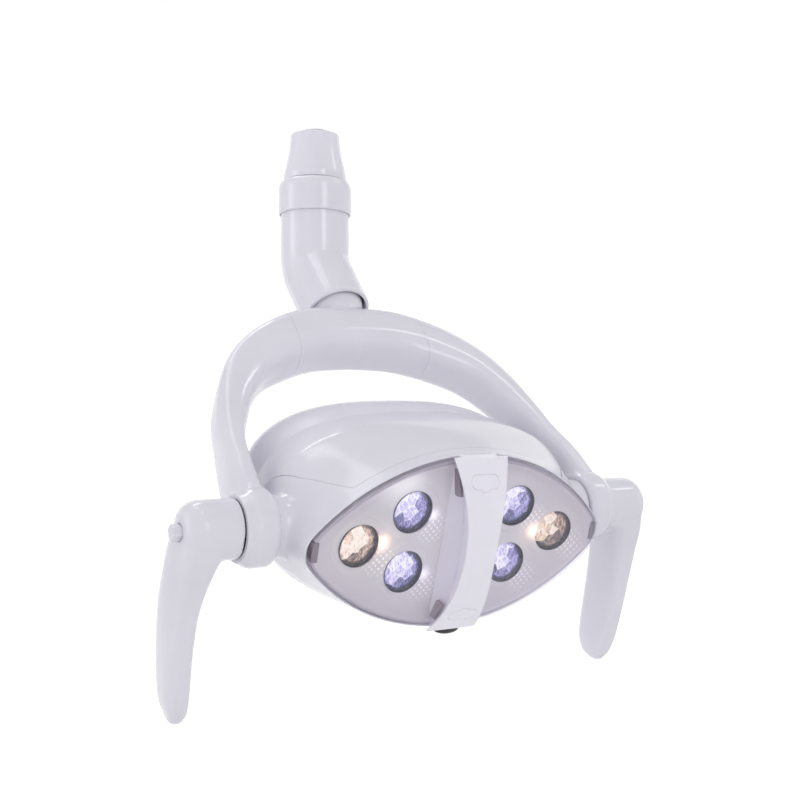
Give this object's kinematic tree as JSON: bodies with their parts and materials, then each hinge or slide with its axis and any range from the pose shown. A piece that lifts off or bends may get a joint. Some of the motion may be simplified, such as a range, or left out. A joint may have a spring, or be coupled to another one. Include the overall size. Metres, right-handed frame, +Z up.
{
  "type": "dental operating light",
  "caption": "Ceiling or unit-arm dental operating light: arm end, swivel elbow, U-shaped yoke, and a tilting LED lamp head with side handles and a clear cover.",
  "frame": {"origin": "centre of the flat face at the top of the arm end, where the light hangs from its arm", "axes": "+Z up along the arm end's axis; -Y forwards, the way the elbow leans and the lamp face looks; X across, close to the tilt axis"},
  "size_m": [0.4477, 0.3163, 0.5234],
  "materials": {
    "gloss_white": "smooth gloss",
    "panel_grey": "satin",
    "clear_cover": "clear, polished",
    "cool_lens": "clear, facetted, lit cool white",
    "warm_lens": "clear, facetted, lit warm white",
    "black_plastic": "satin",
    "steel": "ground",
    "aluminium": "as extruded or cast",
    "bronze_bush": "sintered bronze",
    "nylon": "natural nylon",
    "circuit_board": "solder resist"
  },
  "bodies": {
    "arm_end": {"arm_spigot": "steel", "arm_shroud": "gloss_white", "arm_collar": "gloss_white", "retaining_ring": "steel"},
    "elbow": {"elbow_cover": "gloss_white", "elbow_core": "aluminium", "elbow_bush": "bronze_bush", "swivel_washer": "nylon", "outlet_bush": "bronze_bush"},
    "yoke": {"yoke_stem": "steel", "yoke_bow": "gloss_white", "yoke_cover": "gloss_white", "boss_bush_left": "bronze_bush", "boss_bush_right": "bronze_bush"},
    "head": {"rear_shell": "gloss_white", "front_housing": "gloss_white", "bridge": "gloss_white", "snap_cap_upper": "gloss_white", "snap_cap_lower": "gloss_white", "handle_left": "gloss_white", "handle_right": "gloss_white", "panel_left": "panel_grey", "panel_right": "panel_grey", "clear_cover_left": "clear_cover", "clear_cover_right": "clear_cover", "sensor_window": "black_plastic", "cover_latch_left": "black_plastic", "cover_latch_right": "black_plastic", "friction_ring_left": "black_plastic", "friction_ring_right": "black_plastic", "pivot_shaft_left": "steel", "pivot_shaft_right": "steel", "button_spring_left": "steel", "button_spring_right": "steel", "bridge_screw_upper": "steel", "bridge_screw_lower": "steel", "cover_clip_upper_left": "steel", "cover_clip_lower_left": "steel", "cover_clip_upper_right": "steel", "cover_clip_lower_right": "steel", "heat_sink": "aluminium", "sensor_board": "circuit_board", "led_board_left": "circuit_board", "led_board_right": "circuit_board", "driver_board": "circuit_board", "lens_1": "warm_lens", "lens_2": "cool_lens", "lens_3": "cool_lens", "lens_4": "cool_lens", "lens_5": "cool_lens", "lens_6": "warm_lens"},
    "button_left": {"button_left": "gloss_white"},
    "button_right": {"button_right": "gloss_white"}
  },
  "joints": [
    {"name": "elbow_swivel", "type": "hinge", "parent": "arm_end", "child": "elbow", "pos_m": [0, 0, -0.134], "axis": [0, 0, 1], "range_deg": [-165, 165]},
    {"name": "yoke_swivel", "type": "hinge", "parent": "elbow", "child": "yoke", "pos_m": [0, 0, -0.134], "axis": [0, 0.6494, 0.7604], "range_deg": [-87, 93]},
    {"name": "head_tilt", "type": "hinge", "parent": "yoke", "child": "head", "pos_m": [0, -0.20068, -0.36896], "axis": [0.9986, -0.0398, 0.034], "range_deg": [-30, 80]},
    {"name": "button_left_press", "type": "slide", "parent": "head", "child": "button_left", "axis": [0.9986, -0.0398, 0.034], "range_m": [0, 0.0034], "stiffness_N_per_m": 500, "springref_m": -0.002, "deforming": ["button_spring_left"]},
    {"name": "button_right_press", "type": "slide", "parent": "head", "child": "button_right", "axis": [-0.9986, 0.0398, -0.034], "range_m": [0, 0.0034], "stiffness_N_per_m": 500, "springref_m": -0.002, "deforming": ["button_spring_right"]}
  ]
}
